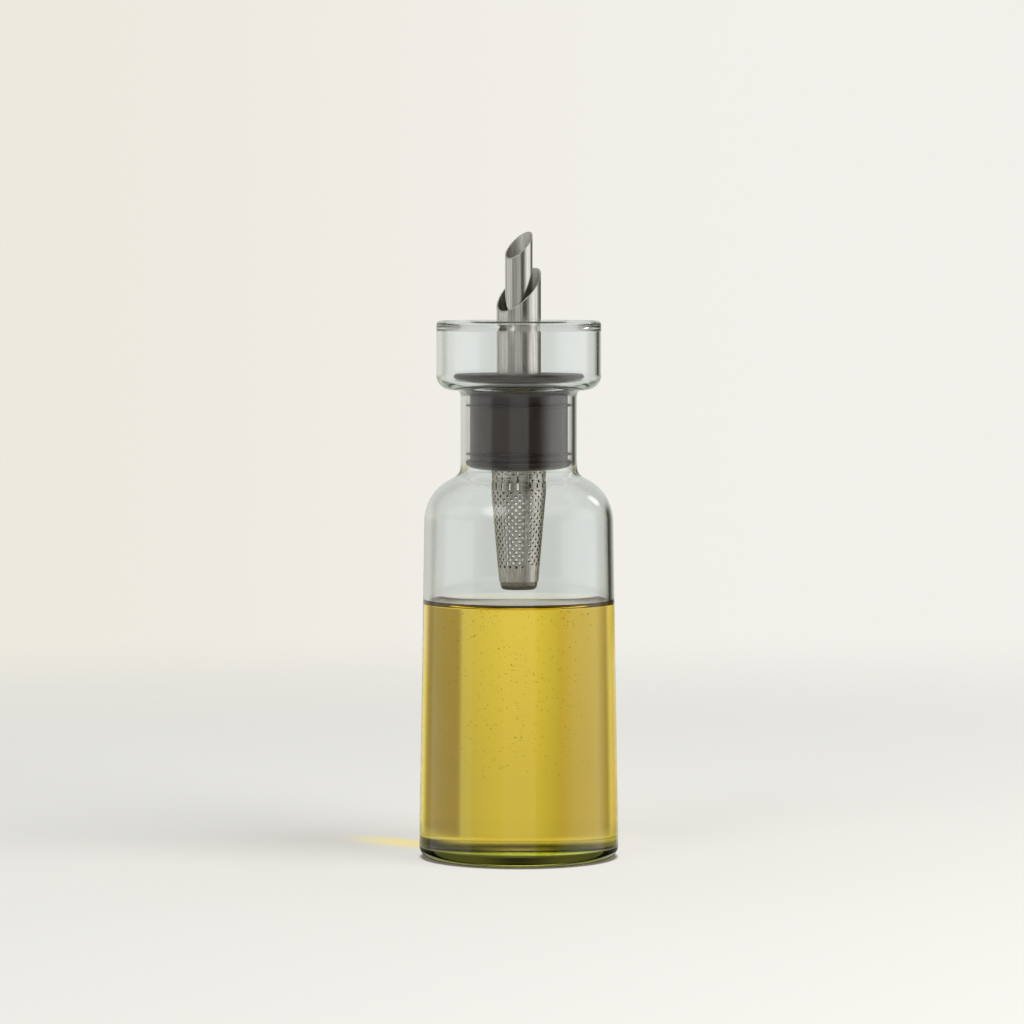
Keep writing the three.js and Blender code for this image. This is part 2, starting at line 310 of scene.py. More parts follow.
# Clear glass: smooth from the flame, so it has sharp reflections and only thick edges show a grey-green tint.
# Its inner floor and the foot's rounded edge carry painted shade in the colour that they pass.
borosilicate = clear_liquid_or_glass("borosilicate_glass", glass_tint, glass_density, with_painted_shade=True)
bottle.data.materials.append(borosilicate)
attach(bottle, "bottle")
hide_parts("glass_bottle")

# Oil
# Golden green olive oil, poured in to just below the infuser. It wets the glass, so its edge climbs the wall
# in a fine curve. Below that edge it reaches a hair into the glass, so that no air shows between them.
wet_overlap = 0.12
overlap_stop = 1.0  # how far below its edge the oil stops reaching into the glass
meniscus_reach = 1.9
meniscus_width = 9.0
meniscus_steps = 14
oil_tint = "fff269"
oil_density = 50.0

oil_edge = bore_at(wet_line)
oil_rounding = floor_rounding + wet_overlap
overlap_end = wet_line - overlap_stop
meniscus = []
for i in range(meniscus_steps + 1):
    inward = meniscus_width * (i / meniscus_steps) ** 2
    meniscus.append((oil_edge - inward, oil_level + meniscus_rise * math.exp(-inward / meniscus_reach)))
oil_profile = [
    (0, base_thickness - wet_overlap),
    *arc(foot_bore - floor_rounding, base_thickness + floor_rounding, oil_rounding, -90, 0, 10),
    (bore_at(overlap_end) + wet_overlap, overlap_end),
    *meniscus,
    (0, oil_level),
]
oil = revolve("oil", oil_profile)
mark_wet(oil, lambda radius, height: height < oil_level - overlap_stop or radius > oil_edge)

# Oil is clear and takes blue light away, so deep oil is golden and a thin layer is pale.
olive_oil = clear_liquid_or_glass("olive_oil", oil_tint, oil_density)
oil.data.materials.append(olive_oil)
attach(oil, "bottle")
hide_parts("oil_fill")

# Specks in the oil
# Fine dust of herbs that hangs in the oil, thickest near its surface. Real grains are finer than these, which
# are as large as they need to be to show. None hang where the infuser dips in when it is pulled.
speck_count = 700
speck_size = 0.12
speck_reach = 18.0
speck_start = 2.0
speck_depth = 55.0
speck_thinning = 1.6  # over 1, more of them hang near the surface
dipped_radius = 10.0
dipped_depth = 13.0
speck_sides = ((0, 2, 4), (2, 1, 4), (1, 3, 4), (3, 0, 4), (2, 0, 5), (1, 2, 5), (3, 1, 5), (0, 3, 5))
herb_green = "4d4612"

chance = random.Random(7)
speck_verts, speck_faces = [], []
for _ in range(speck_count):
    out = speck_reach * math.sqrt(chance.random())
    turn = 2 * math.pi * chance.random()
    depth = speck_start + speck_depth * chance.random() ** speck_thinning
    size = speck_size * chance.uniform(0.5, 1.5)
    if out < dipped_radius and depth < dipped_depth:
        continue
    spot = Vector((out * math.cos(turn), out * math.sin(turn), oil_level - depth))
    first = len(speck_verts)
    for axis in range(3):
        for way in (-size, size):
            corner = spot.copy()
            corner[axis] += way
            speck_verts.append(tuple(corner))
    speck_faces += [tuple(first + i for i in side) for side in speck_sides]
specks = new_object("oil_specks", speck_verts, speck_faces, sharp_angle=30)

# Ground herb is matt and dark olive, so a grain reads as a small dark dot against the lit oil.
herb_dust, herb_nodes = new_material("ground_herb")
matt_grain = add(herb_nodes, "BsdfPrincipled", {"Base Color": linear(herb_green), "Roughness": 0.9})
add(herb_nodes, "OutputMaterial", {"Surface": matt_grain.outputs[0]})
specks.data.materials.append(herb_dust)
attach(specks, "bottle")

# Silicone stopper
# A soft moulded plug with a wide flange that sits on the cup's floor, and three thin lips that seal the neck.
# Its bore grips the spout, and a socket in its nose grips the infuser.
flange_radius = 21.9
flange_thickness = 3.1
flange_rounding = 1.2
plug_radius = 16.4
plug_length = 29.3
plug_fillet = 2.5
lip_gap = 0.08
lip_root = 1.1
lip_tip = 0.35
lip_thin_run = 0.5  # length of the thin part of a lip, up to its tip
lip_thin_half = 0.7  # half of its thickness where it starts, as a share of the tip's
upper_lip_drop = 7.4
lower_lip_drop = 23.7
nose_lip_drop = 26.1
nose_radius = 11.1
tube_bore = 7.6
bore_chamfer = 0.3
socket_radius = 9.35
socket_depth = 7.0
silicone_grey = "352a24"
silicone_bloom = "42352f"
bloom_patch = 11.1
skin_grain = 0.35
skin_depth = 0.05

stopper_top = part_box("silicone_stopper")[1].z / MM
seat = stopper_top - flange_thickness
nose = seat - plug_length
nose_top = seat - nose_lip_drop - lip_tip / 2
shelf = nose + socket_depth
lip_radius = neck_bore - lip_gap
flange_edge = flange_radius - flange_rounding


def lip(drop):
    """Profile of one thin sealing lip, from its lower root round its tip to its upper root."""
    return [
        (plug_radius, seat - drop - lip_root / 2),
        (lip_radius - lip_thin_run, seat - drop - lip_tip * lip_thin_half),
        *arc(lip_radius - lip_tip / 2, seat - drop, lip_tip / 2, -90, 90, 4),
        (lip_radius - lip_thin_run, seat - drop + lip_tip * lip_thin_half),
        (plug_radius, seat - drop + lip_root / 2),
    ]


stopper_profile = [
    (socket_radius, nose),
    *arc(nose_radius, nose_top, lip_radius - nose_radius, -90, 0, 14, nose_top - nose),
    *lip(nose_lip_drop)[-2:],
    *lip(lower_lip_drop),
    *lip(upper_lip_drop),
    *arc(plug_radius + plug_fillet, seat - plug_fillet, plug_fillet, 180, 90, 8),
    *arc(flange_edge, seat + flange_rounding, flange_rounding, -90, 0, 6),
    *arc(flange_edge, stopper_top - flange_rounding, flange_rounding, 0, 90, 6),
    (tube_bore + bore_chamfer, stopper_top),
    (tube_bore, stopper_top - bore_chamfer),
    (tube_bore, shelf),
    (socket_radius, shelf),
]
stopper = revolve("stopper_silicone", stopper_profile, facets=144, ring=True, sharp_angle=40)

# Moulded silicone has a fine satin skin with a faint bloom of dust, and is dark warm grey right through.
silicone, silicone_nodes = new_material("moulded_silicone")
on_skin = add(silicone_nodes, "TexCoord").outputs["Object"]
bloom = add(silicone_nodes, "TexNoise", {"Vector": on_skin, "Scale": 1 / (bloom_patch * MM), "Detail": 4.0})
grain = add(silicone_nodes, "TexNoise", {"Vector": on_skin, "Scale": 1 / (skin_grain * MM), "Detail": 2.0})
bloomed = add(
    silicone_nodes,
    "ValToRGB",
    {"Fac": bloom.outputs["Fac"]},
    stops=((0, linear(silicone_grey)), (1, linear(silicone_bloom))),
)
skin = add(
    silicone_nodes, "Bump", {"Height": grain.outputs["Fac"], "Strength": 0.03, "Distance": skin_depth * MM}
)
rubber = add(
    silicone_nodes,
    "BsdfPrincipled",
    {
        "Base Color": bloomed.outputs["Color"],
        "Roughness": 0.42,
        "IOR": 1.42,
        "Normal": skin.outputs["Normal"],
    },
)
add(silicone_nodes, "OutputMaterial", {"Surface": rubber.outputs[0]})
stopper.data.materials.append(silicone)
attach(stopper, "stopper")
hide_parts("silicone_stopper")

# Spout tubes
# Two drawn stainless tubes, one inside the other, with their mouths ground off at 45 degrees. Oil pours
# through the inner one, and drips run back through the gap between them.
return_radius = 7.45
return_wall = 0.5
return_rise = 28.0
return_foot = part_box("drip_return_tube")[0].z / MM
pour_radius = 4.6
pour_wall = 0.45
pour_rise = 42.9
pour_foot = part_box("pour_tube")[0].z / MM
mouth_slope = math.tan(math.radians(45))
edge_round = 0.05
brushed_light = "d6d4cf"
brushed_dark = "adaba6"
lifted_inside_light = "dddbd6"
lifted_inside_dark = "c2c0bb"
streak_width = 0.5
streak_length = 40.0
streak_depth = 0.02


def slanted_tube(name, radius, wall, rise, bottom, facets=128):
    """A tube with a square lower end, and a mouth that rises towards +X. The second material is inside."""
    inner = radius - wall
    middle = stopper_top + rise
    verts = []
    rings = ((inner, 0, bottom), (radius, 0, bottom), (radius, 1, middle), (inner, 1, middle))
    for r, slope, height in rings:
        for i in range(facets):
            x = r * math.cos(2 * math.pi * i / facets)
            y = r * math.sin(2 * math.pi * i / facets)
            verts.append((x, y, height + slope * mouth_slope * x))
    faces = []
    for row in range(4):
        low, high = row * facets, (row + 1) % 4 * facets
        for i in range(facets):
            j = (i + 1) % facets
            faces.append((low + i, low + j, high + j, high + i))
    tube = new_object(name, verts, faces, sharp_angle=30)
    for face in tube.data.polygons[3 * facets :]:
        face.material_index = 1
    edge = tube.modifiers.new("ground_edge", "BEVEL")
    edge.width = edge_round * MM
    edge.segments = 2
    edge.limit_method = "ANGLE"
    edge.harden_normals = True
    return tube


return_tube = slanted_tube("drip_return_tube_steel", return_radius, return_wall, return_rise, return_foot)
pour_tube = slanted_tube("pour_tube_steel", pour_radius, pour_wall, pour_rise, pour_foot)


def streaked_steel(name, light, dark, rough, streaks_strength):
    """Stainless steel with fine streaks along Z, drawn a little coarser than real ones so that they show."""
    steel, tree = new_material(name)
    on_steel = add(tree, "TexCoord").outputs["Object"]
    fine = 1 / (streak_width * MM)
    drawn = add(tree, "Mapping", {"Vector": on_steel, "Scale": (fine, fine, 1 / (streak_length * MM))})
    fineness = {"Vector": drawn.outputs[0], "Scale": 1.0, "Detail": 5.0, "Roughness": 0.65}
    streak = add(tree, "TexNoise", fineness).outputs["Fac"]
    shade = add(tree, "ValToRGB", {"Fac": streak}, stops=((0.3, linear(dark)), (0.7, linear(light))))
    gloss = add(tree, "MapRange", {"Value": streak, "To Min": rough * 0.8, "To Max": rough * 1.25})
    bump = add(tree, "Bump", {"Height": streak, "Strength": streaks_strength, "Distance": streak_depth * MM})
    around_axis = add(tree, "Tangent", direction_type="RADIAL", axis="Z")
    metal = add(
        tree,
        "BsdfPrincipled",
        {
            "Base Color": shade.outputs["Color"],
            "Metallic": 1.0,
            "Roughness": gloss.outputs["Result"],
            "Anisotropic": 0.6,
            "Anisotropic Rotation": 0.25,
            "Normal": bump.outputs["Normal"],
            "Tangent": around_axis.outputs["Tangent"],
        },
    )
    add(tree, "OutputMaterial", {"Surface": metal.outputs[0]})
    return steel


# Outside, the steel is brushed along its length: fine streaks that break the highlight into upright lines.
brushed_steel = streaked_steel("brushed_stainless_steel", brushed_light, brushed_dark, 0.19, 0.2)
# Inside, the drawn tubes aren't brushed: they are duller, and their colour is a little lighter than outside
# as painted light, so the shaded insides look evenly grey.
drawn_steel = streaked_steel("drawn_steel_painted_light", lifted_inside_light, lifted_inside_dark, 0.5, 0.05)
for tube, node in ((return_tube, "drip_return_tube"), (pour_tube, "pour_tube")):
    tube.data.materials.append(brushed_steel)
    tube.data.materials.append(drawn_steel)
    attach(tube, "spout")
    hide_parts(node)

# Tube spacer
# A small steel ring with three legs, pressed between the two tubes. The stopper hides it, so it keeps its
# plain solid and takes the steel of the tubes.
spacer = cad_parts["tube_spacer"]
spacer.data.materials.clear()
spacer.data.materials.append(brushed_steel)

# Infuser sieve
# A tapered sleeve of thin stainless sheet, photo-etched with staggered rows of small holes and one row of
# upright slots, then rolled and welded. Its top is pushed into the stopper's nose.
sleeve_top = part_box("infuser_sieve")[1].z / MM
sleeve_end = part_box("infuser_sieve")[0].z / MM
sleeve_radius = 9.2
sleeve_end_radius = 6.65
sleeve_sheet = 0.4
sleeve_straight = 13.5
columns = 41  # places round the sheet: the first is bare at the weld, and a row uses every other one
seam_turn = math.radians(-122.0)
rolled_askew = -1.2  # how far the rows climb in one turn
level_rim = 4.0  # height of the upper rim that stays level
rows_top = 131.5  # height of the upper edge of the first row
row_pitch = 1.2
collar_rows = 3
taper_rows = 22
hole_radius = 0.5
hole_sides = 10
slot_band = 3.4
slot_height = 2.9
slot_width = 0.72
bare_strip = 0.2  # between the slots and the rows of the taper
etched_light = "c2beb5"
etched_dark = "928e85"
inner_shade_light = "45423c"
inner_shade_dark = "2e2c28"


def radius_at(height):
    """Outer radius of the sleeve at a height."""
    share = (sleeve_top - sleeve_straight - height) / (sleeve_top - sleeve_straight - sleeve_end)
    return sleeve_radius + (sleeve_end_radius - sleeve_radius) * min(max(share, 0), 1)


# Loops of a hole and of a slot with round ends, in millimetres across and up from their middles
hole_turns = [2 * math.pi * i / hole_sides for i in range(hole_sides)]
round_hole = [(hole_radius * math.cos(t), hole_radius * math.sin(t)) for t in hole_turns]
slot_half = slot_width / 2
slot_straight = slot_height / 2 - slot_half
long_slot = arc(0, slot_straight, slot_half, 0, 180, 4) + arc(0, -slot_straight, slot_half, 180, 360, 4)

# Bands of the sheet from its top down: height of the band, the loop of its openings, and its stagger
bands = [(sleeve_top - rows_top, None, 0)]
bands += [(row_pitch, round_hole, row % 2) for row in range(collar_rows)]
bands += [(slot_band, long_slot, 1), (bare_strip, None, 0)]
taper_start = sum(band[0] for band in bands) - bare_strip / 2
bands += [(row_pitch, round_hole, (row + 1) % 2) for row in range(taper_rows)]
bands += [(sleeve_top - sleeve_end - sum(band[0] for band in bands), None, 0)]
rows_end = taper_start + taper_rows * row_pitch + bare_strip / 2


def rows_turned(height):
    """How far, in columns, the rows below the slots are turned from those above."""
    return 0.5 if height < sleeve_top - taper_start else 0.0


def askew(share, height):
    """How far up a point of the sheet lies for being rolled askew, at a share of a turn from the weld."""
    inside = level_rim < sleeve_top - height < rows_end
    return rolled_askew * (share - 0.5) if inside else 0.0


def sieve_sheet():
    """Outer face of the sheet: its points (column, height), its faces, and the loops of openings and rims."""
    points, faces, loops = [], [], []
    placed = {}

    def grid(column, height):
        key = (column % columns, height)
        if key not in placed:
            placed[key] = len(points)
            points.append(key)
        return placed[key]

    top = sleeve_top
    for height, opening, stagger in bands:
        bottom = round(top - height, 6)
        middle = (top + bottom) / 2
        pitch = 2 * math.pi * radius_at(middle) / columns
        for column in range(columns):
            right = column + 1
            corners = [grid(column, bottom), grid(right, bottom), grid(right, top), grid(column, top)]
            if opening is None or column == 0 or (column + stagger) % 2:
                faces.append(corners)
                continue
            loop = list(range(len(points), len(points) + len(opening)))
            points.extend((column + 0.5 + x / pitch, middle + z) for x, z in opening)
            loops.append(loop)
            outline = [(-pitch / 2, bottom), (pitch / 2, bottom), (pitch / 2, top), (-pitch / 2, top)]
            flat = [Vector((x, z - middle, 0)) for x, z in outline]
            hole = [Vector((x, z, 0)) for x, z in opening]
            names = corners + loop
            for a, b, c in tessellate_polygon([flat, hole]):
                ends = [(flat + hole)[i] for i in (a, b, c)]
                facing = (ends[1] - ends[0]).cross(ends[2] - ends[0]).z
                faces.append([names[i] for i in ((a, b, c) if facing > 0 else (a, c, b))])
        top = bottom
    loops.append([placed[(column, top)] for column in reversed(range(columns))])
    loops.append([placed[(column, sleeve_top)] for column in range(columns)])
    return points, faces, loops


def build_sieve():
    """The sheet with its thickness: an outer and an inner face, joined at every opening and at both rims. Its
    inside has the second material."""
    points, faces, loops = sieve_sheet()
    verts = []
    for depth in (0, sleeve_sheet):
        for column, height in points:
            share = (column + rows_turned(height)) / columns
            turn = 2 * math.pi * share + seam_turn
            r = radius_at(height) - depth
            verts.append((r * math.cos(turn), r * math.sin(turn), height + askew(share, height)))
    count = len(points)
    inner = [[i + count for i in reversed(face)] for face in faces]
    walls = []
    for loop in loops:
        for p, q in zip(loop, loop[1:] + loop[:1]):
            walls.append((p, q, q + count, p + count))
    sieve = new_object("infuser_sieve_steel", verts, faces + inner + walls, sharp_angle=40)
    for face in sieve.data.polygons[len(faces) : 2 * len(faces)]:
        face.material_index = 1
    return sieve


sieve = build_sieve()
# Etched sheet is satin outside, with soft upright highlights. Inside it is rougher and painted dark as
# painted shade, which keeps the holes dark.
sieve.data.materials.append(streaked_steel("etched_stainless_sheet", etched_light, etched_dark, 0.24, 0.06))
sieve.data.materials.append(streaked_steel("inner_sheet_painted_shade", inner_shade_light, inner_shade_dark, 0.45, 0.1))
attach(sieve, "infuser")
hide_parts("infuser_sieve")

# Infuser end cap
# A shallow cup pressed from stainless sheet. Its skirt is pushed into the sleeve's lower end and welded,
# and its rounded foot stands out below.
cap_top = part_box("infuser_end_cap")[1].z / MM
cap_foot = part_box("infuser_end_cap")[0].z / MM
cap_fit = 0.05
cap_belly = 6.25
cap_sheet = 0.5
cap_rounding = 1.3
cap_rounding_rise = 2.0
cap_shade_light = "8a8578"
cap_shade_dark = "67635a"

cap_skirt = sleeve_end_radius - sleeve_sheet - cap_fit
cap_profile = [
    (0, cap_foot),
    *arc(cap_belly - cap_rounding, cap_foot + cap_rounding_rise, cap_rounding, -90, 0, 10, cap_rounding_rise),
    (cap_belly, sleeve_end),
    (cap_skirt, sleeve_end),
    (cap_skirt, cap_top),
    (cap_skirt - cap_sheet, cap_top),
    (cap_skirt - cap_sheet, cap_foot + cap_sheet),
    (0, cap_foot + cap_sheet),
]
cap = revolve("infuser_cap_steel", cap_profile, facets=96, sharp_angle=40)
# Pressed sheet is duller than the sleeve, and its colour is darker and olive as painted shade and a painted
# reflection of the dark oil below, so the cap reads as a plain grey end.
cap.data.materials.append(streaked_steel("pressed_sheet_painted_shade", cap_shade_light, cap_shade_dark, 0.3, 0.06))
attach(cap, "infuser")
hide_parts("infuser_end_cap")

# Camera
# A long lens, a little above the rim and almost level, with the spout turned to the right and away.
camera_turn = math.radians(-43.0)
camera_distance = 1.507
camera_height = 0.1972
camera_tilt = math.radians(3.08)
camera_pan = math.radians(0.0866)
sensor = 36.0
lens_pixels = 4500.0
image_pixels = 1024.0
camera_data = bpy.data.cameras.new("camera")
camera_data.sensor_width = sensor
camera_data.lens = lens_pixels / image_pixels * sensor
camera_data.clip_start = 0.05
camera_data.clip_end = 100.0
camera = bpy.data.objects.new("camera", camera_data)
bpy.context.scene.collection.objects.link(camera)
towards_camera = Vector((math.sin(camera_turn), -math.cos(camera_turn), 0))
camera.location = towards_camera * camera_distance + Vector((0, 0, camera_height))
camera.rotation_euler = (math.pi / 2 - camera_tilt, 0, camera_turn + camera_pan)
bpy.context.scene.camera = camera

# Floor
# A pale warm paper sweep. Near the bottle it takes the light and the shadow, and further out it runs into the
# background, so that no edge shows from any side.
floor_reach = 30.0
shadow_reach = 0.95
mirrored_reach = 0.075
fade_start = 0.4  # share of its reach at which the paper starts to run out
paper_white = "e9e9e6"
paper_in_glass = "d6dad4"
# Painted shade that the glass shows under the foot and by its edge, given as glowing colours.
shade_under_foot_colour = "2f2d12"
shade_by_edge_colour = "5f5b27"
# A patch of painted green light that the oil throws under the foot, given as a glowing colour.
painted_green_light = "fcff8c"
painted_green_strength = 4.0
under_foot_reach = 34.0
under_foot_fade = 50.0
glow_share = 0.26
glow_in_glass = 0.7
# Painted light that the eye sees on the paper: a soft white ring for light that the glass strews, and a
# yellow patch for light that the oil throws.
strewn_light = "f4f3ee"
strewn_share = 0.7
thrown_light = "f7e28c"
thrown_share = 0.75
# A painted contact shadow: a brown ring on the paper at the foot, seen by the eye only.
contact_shade = "3c2c0c"
contact_share = 0.8
contact_inner = 32.5
contact_outer = 33.8
bpy.ops.mesh.primitive_plane_add(size=2 * floor_reach)
floor = bpy.context.object
floor.name = "paper_sweep"

# Matt paper is even and has no gloss. Where the eye sees it, a glowing ring of painted light stands for the
# light that the glass strews, a yellow patch of painted light for what the oil throws, and a brown ring of
# painted shade for the contact shadow at the foot. Where the glass shows it, the paper under the foot is
# painted shade, but for a glowing patch of painted light that the oil lights green.
paper, paper_nodes = new_material("matt_paper")
on_paper = add(paper_nodes, "TexCoord").outputs["Object"]
distance = add(paper_nodes, "VectorMath", {0: on_paper}, operation="LENGTH").outputs["Value"]
by_eye = add(paper_nodes, "LightPath").outputs["Is Camera Ray"]


def soft_patch(turn, out, half_length, half_width):
    """A soft oval on the paper, from 0 at its edge to 1 in its middle. It lies along a direction from the
    bottle, at a turn from straight away from the camera, and its sizes are in millimetres."""
    heading = math.pi / 2 + camera_turn + math.radians(turn)
    turned = add(paper_nodes, "VectorRotate", {"Vector": on_paper, "Angle": -heading}, rotation_type="Z_AXIS")
    placed = add(paper_nodes, "VectorMath", {0: turned.outputs[0], 1: (out * MM, 0, 0)}, operation="SUBTRACT")
    sizes = (half_length * MM, half_width * MM, 1)
    scaled = add(paper_nodes, "VectorMath", {0: placed.outputs[0], 1: sizes}, operation="DIVIDE")
    far = add(paper_nodes, "VectorMath", {0: scaled.outputs[0]}, operation="LENGTH").outputs["Value"]
    ends = {"Value": far, "From Min": 1.0, "From Max": 0.0}
    return add(paper_nodes, "MapRange", ends, interpolation_type="SMOOTHSTEP").outputs["Result"]


# Soft patches where the paper carries painted shade and painted light.
shade_middle_patch = soft_patch(turn=0, out=0, half_length=16, half_width=16)
painted_light_patch = soft_patch(turn=-3, out=21, half_length=9, half_width=16)
strewn_patch = soft_patch(turn=0, out=0, half_length=95, half_width=95)
thrown_patch = soft_patch(turn=48, out=54, half_length=34, half_width=15)
contact_edge = {"Value": distance, "From Min": contact_outer * MM, "From Max": contact_inner * MM}
contact_ring = add(paper_nodes, "MapRange", contact_edge).outputs["Result"]

tones = {0: by_eye, 6: linear(paper_in_glass), 7: linear(paper_white)}
tone = add(paper_nodes, "Mix", tones, data_type="RGBA").outputs[2]
matt_white = add(paper_nodes, "BsdfDiffuse", {"Color": tone})
glow = add(paper_nodes, "Emission", {"Color": linear(paper_white), "Strength": 1.0})
lift = add(paper_nodes, "Mix", {"Factor": by_eye, "A": glow_in_glass, "B": glow_share}).outputs["Result"]
shown = add(paper_nodes, "MixShader", {0: lift, 1: matt_white.outputs[0], 2: glow.outputs[0]})
# Lays the painted light and the painted contact shadow on the paper as the eye sees it.
for patch, code, strength in (
    (strewn_patch, strewn_light, strewn_share),
    (thrown_patch, thrown_light, thrown_share),
    (contact_ring, contact_shade, contact_share),
):
    full = add(paper_nodes, "Math", {0: patch, 1: strength}, operation="MULTIPLY")
    part = add(paper_nodes, "Math", {0: full.outputs[0], 1: by_eye}, operation="MULTIPLY")
    light = add(paper_nodes, "Emission", {"Color": linear(code), "Strength": 1.0})
    shown = add(paper_nodes, "MixShader", {0: part.outputs[0], 1: shown.outputs[0], 2: light.outputs[0]})

# What the glass shows under the foot: painted shade, with a glowing patch of painted green light.
darks = {0: shade_middle_patch, 6: linear(shade_by_edge_colour), 7: linear(shade_under_foot_colour)}
painted_shade_below = add(paper_nodes, "Mix", darks, data_type="RGBA").outputs[2]
painted_green_glow = [c * painted_green_strength for c in linear(painted_green_light)]
below = add(paper_nodes, "Mix", {0: painted_light_patch, 6: painted_shade_below, 7: painted_green_glow}, data_type="RGBA").outputs[2]
seen_below = add(paper_nodes, "Emission", {"Color": below, "Strength": 1.0})
under_edge = {"Value": distance, "From Min": under_foot_fade * MM, "From Max": under_foot_reach * MM}
under_foot = add(paper_nodes, "MapRange", under_edge).outputs["Result"]
in_glass = add(paper_nodes, "Math", {0: 1.0, 1: by_eye}, operation="SUBTRACT").outputs[0]
covered = add(paper_nodes, "Math", {0: under_foot, 1: in_glass}, operation="MULTIPLY").outputs[0]
sheet = add(paper_nodes, "MixShader", {0: covered, 1: shown.outputs[0], 2: seen_below.outputs[0]})

reach = add(paper_nodes, "Mix", {"Factor": by_eye, "A": mirrored_reach, "B": shadow_reach}).outputs["Result"]
far_share = add(paper_nodes, "Math", {0: distance, 1: reach}, operation="DIVIDE").outputs["Value"]
fade_edge = {"Value": far_share, "From Min": fade_start, "From Max": 1.0}
fade = add(paper_nodes, "MapRange", fade_edge, interpolation_type="SMOOTHSTEP").outputs["Result"]
background = add(paper_nodes, "BsdfTransparent")
sweep = add(paper_nodes, "MixShader", {0: fade, 1: sheet.outputs[0], 2: background.outputs[0]})
add(paper_nodes, "OutputMaterial", {"Surface": sweep.outputs[0]})
floor.data.materials.append(paper)

# Light
# A studio round the bottle: a pale backdrop, a white wall on the left, a grey one with a dark panel on the
# right, a dim room behind the camera, three soft lamps for the gloss, and a soft box in front on the right.
backdrop_left = "ece9df"
backdrop_right = "f2f0ea"
behind = "dce0dc"
behind_edge = "c9cdc4"
behind_left = "dad9d3"
left_corner = "aaa599"
left_wall = "f4f3ef"
left_gap = "a3a29e"
camera_side = "cfceca"
right_gap = "484643"
front_wall = "dedcd6"
right_wall = "a39d90"
panel_grey = "45423d"
upper_front = "a3a19b"
upper_behind = "cdd0cc"
ceiling = "dddcd8"
table = "dcdfd9"
no_tint = "ffffff"
low_left_tint = "e8e3b1"
low_right_tint = "f8f6c4"
# Walls, the dark panel and the tint low on the walls, by degrees from straight behind the bottle to the left
room_walls = (
    (-180, camera_side),
    (-162, camera_side),
    (-158, right_gap),
    (-138, right_gap),
    (-124, front_wall),
    (-78, front_wall),
    (-58, right_wall),
    (-26, right_wall),
    (-24, behind_edge),
    (-6, behind),
    (6, behind),
    (14.5, behind_edge),
    (16, behind_left),
    (40, behind_left),
    (52, left_corner),
    (59, left_wall),
    (121, left_wall),
    (125, left_gap),
    (160, left_gap),
    (163, camera_side),
    (180, camera_side),
)
panel_cover = ((-180, 0), (-48, 0), (-40, 1), (-26, 1), (-13, 0))
low_tints = (
    (-180, no_tint),
    (-60, no_tint),
    (-54, low_right_tint),
    (-28, low_right_tint),
    (-24, no_tint),
    (14.5, no_tint),
    (16, low_left_tint),
    (44, low_left_tint),
    (52, no_tint),
)
# Heights are sines of the angle above the horizon: where a layer starts, and where it covers the one below
panel_edge = (-0.082, -0.07)
upper_edge = (0.05, 0.2)
ceiling_edge = (0.5, 0.8)
tint_edge = (-0.074, -0.08)
table_edge = (-0.14, -0.2)
lowest = -0.15
low_bands = (
    (lowest, 0.9),
    (-0.13, 0.9),
    (-0.095, 1.08),
    (-0.079, 1.08),
    (-0.074, 0.9),
    (-0.05, 0.9),
    (-0.02, 1.0),
)
upper_back_edge = (0.7, 0.9)  # the same, straight away from the camera
backdrop_edge = (0.11, -0.06)  # the same, to the left
# Lamps: turn to the left and rise in degrees, how many times taller than wide, half angles of the
# bright core and of the soft edge, and strength
soft_lamps = (
    (-92, -2, 1, 12, 34, 1.35),
    (147, 33, 1, 2, 20, 3.0),
    (-50, 25, 3, 1.5, 4, 4.5),
)

world = bpy.data.worlds.new("studio")
bpy.context.scene.world = world
world.use_nodes = True
studio = world.node_tree
studio.nodes.clear()
direction = add(studio, "TexCoord").outputs["Generated"]
camera_faced = {"Vector": direction, "Rotation": (0, 0, -camera_turn - math.pi / 2)}
faced = add(studio, "Mapping", camera_faced, vector_type="POINT").outputs[0]
around = add(studio, "TexGradient", {"Vector": faced}, gradient_type="RADIAL").outputs["Fac"]
parts = add(studio, "SeparateXYZ", {0: faced}).outputs
backward, leftward, upward = parts["X"], parts["Y"], parts["Z"]


def laid_over(base, layer, along, start, end):
    """A colour with another laid over it, which sets in softly along a value from its start to its end."""
    edge = {"Value": along, "From Min": start, "From Max": end}
    cover = add(studio, "MapRange", edge, interpolation_type="SMOOTHSTEP").outputs["Result"]
    return add(studio, "Mix", {0: cover, 6: base, 7: layer}, data_type="RGBA").outputs[2]


def place_of(angle):
    """Place on a ramp round the room of an angle in degrees."""
    return 0.5 + angle / 360


wall_stops = [(place_of(angle), linear(code)) for angle, code in room_walls]
walls = add(studio, "ValToRGB", {"Fac": around}, stops=wall_stops).outputs["Color"]
panel_stops = [(place_of(angle), (cover, cover, cover, 1)) for angle, cover in panel_cover]
panel = add(studio, "ValToRGB", {"Fac": around}, stops=panel_stops).outputs["Color"]
panelled = add(studio, "Mix", {0: panel, 6: walls, 7: linear(panel_grey)}, data_type="RGBA").outputs[2]
hung = laid_over(walls, panelled, upward, *panel_edge)
upper = laid_over(linear(upper_front), linear(upper_behind), backward, *upper_back_edge)
room = laid_over(laid_over(hung, upper, upward, *upper_edge), linear(ceiling), upward, *ceiling_edge)
level = add(studio, "MapRange", {"Value": upward, "From Min": lowest, "From Max": 0.0}).outputs["Result"]
band_stops = [(1 - height / lowest, (share, share, share, 1)) for height, share in low_bands]
banded = add(studio, "ValToRGB", {"Fac": level}, stops=band_stops).outputs["Color"]
room = add(studio, "VectorMath", {0: room, 1: banded}, operation="MULTIPLY").outputs[0]
tint_stops = [(place_of(angle), linear(code)) for angle, code in low_tints]
low_tint = add(studio, "ValToRGB", {"Fac": around}, stops=tint_stops).outputs["Color"]
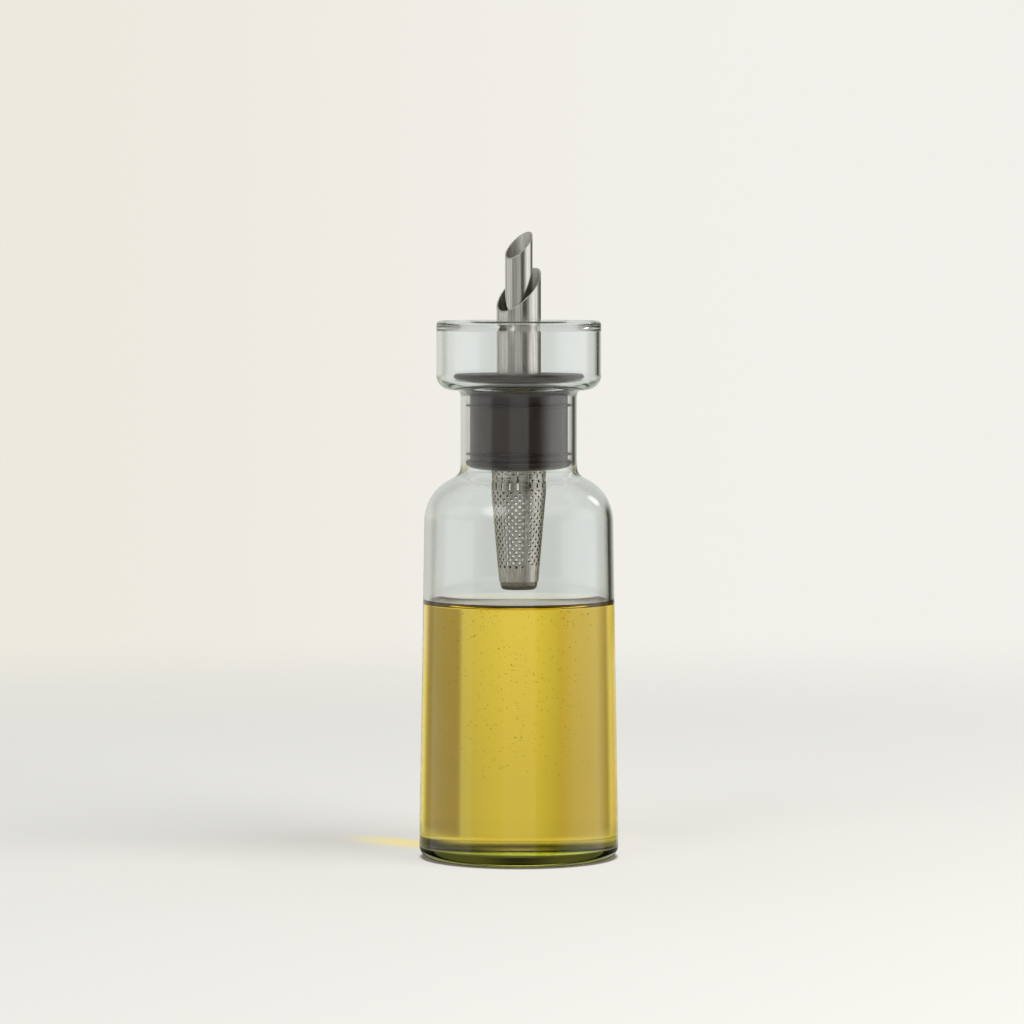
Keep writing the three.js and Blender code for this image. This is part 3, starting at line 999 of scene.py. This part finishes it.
tinted = add(studio, "VectorMath", {0: room, 1: low_tint}, operation="MULTIPLY").outputs[0]
room = laid_over(room, tinted, upward, *tint_edge)
room = laid_over(room, linear(table), upward, *table_edge)
for turn, rise, tall, core, edge, strength in soft_lamps:
    a, b = math.radians(turn), math.radians(rise)
    aimed = Vector((math.cos(b) * math.cos(a), math.cos(b) * math.sin(a), math.sin(b) / tall)).normalized()
    flat = add(studio, "VectorMath", {0: faced, 1: (1, 1, 1 / tall)}, operation="MULTIPLY")
    unit = add(studio, "VectorMath", {0: flat.outputs[0]}, operation="NORMALIZE")
    close = add(studio, "VectorMath", {0: unit.outputs[0], 1: aimed}, operation="DOT_PRODUCT")
    lamp = (strength, strength, strength, 1)
    ends = (math.cos(math.radians(edge)), math.cos(math.radians(core)))
    room = laid_over(room, lamp, close.outputs["Value"], *ends)
backdrop = laid_over(linear(backdrop_left), linear(backdrop_right), leftward, *backdrop_edge)
direct = add(studio, "LightPath").outputs["Is Camera Ray"]
seen = add(studio, "Mix", {0: direct, 6: room, 7: backdrop}, data_type="RGBA").outputs[2]
lit = add(studio, "Background", {"Color": seen, "Strength": 1.0})
add(studio, "OutputWorld", {"Surface": lit.outputs[0]})

key_turn = camera_turn + math.radians(55)
key_distance = 1.25
key_height = 0.8
key_size = 1.2
key_white = "fffdfa"
aimed_height = 0.1
key_data = bpy.data.lights.new("soft_box", "AREA")
key_data.shape = "RECTANGLE"
key_data.size = key_size
key_data.size_y = key_size
key_data.energy = 18.0
key_data.color = linear(key_white)[:3]
key = bpy.data.objects.new("soft_box", key_data)
bpy.context.scene.collection.objects.link(key)
key.location = (key_distance * math.sin(key_turn), -key_distance * math.cos(key_turn), key_height)
aim = Vector((0, 0, aimed_height)) - key.location
key.rotation_euler = aim.to_track_quat("-Z", "Y").to_euler()
key.visible_camera = False
key.visible_glossy = False
key.visible_transmission = False

# Light that is trapped in the thick glass turns back many times before it leaves.
trapped_bounces = 64
bpy.context.scene.view_settings.view_transform = "Standard"
bpy.context.scene.cycles.max_bounces = trapped_bounces
bpy.context.scene.cycles.transmission_bounces = trapped_bounces
bpy.context.scene.cycles.glossy_bounces = trapped_bounces
bpy.context.scene.cycles.transparent_max_bounces = 16
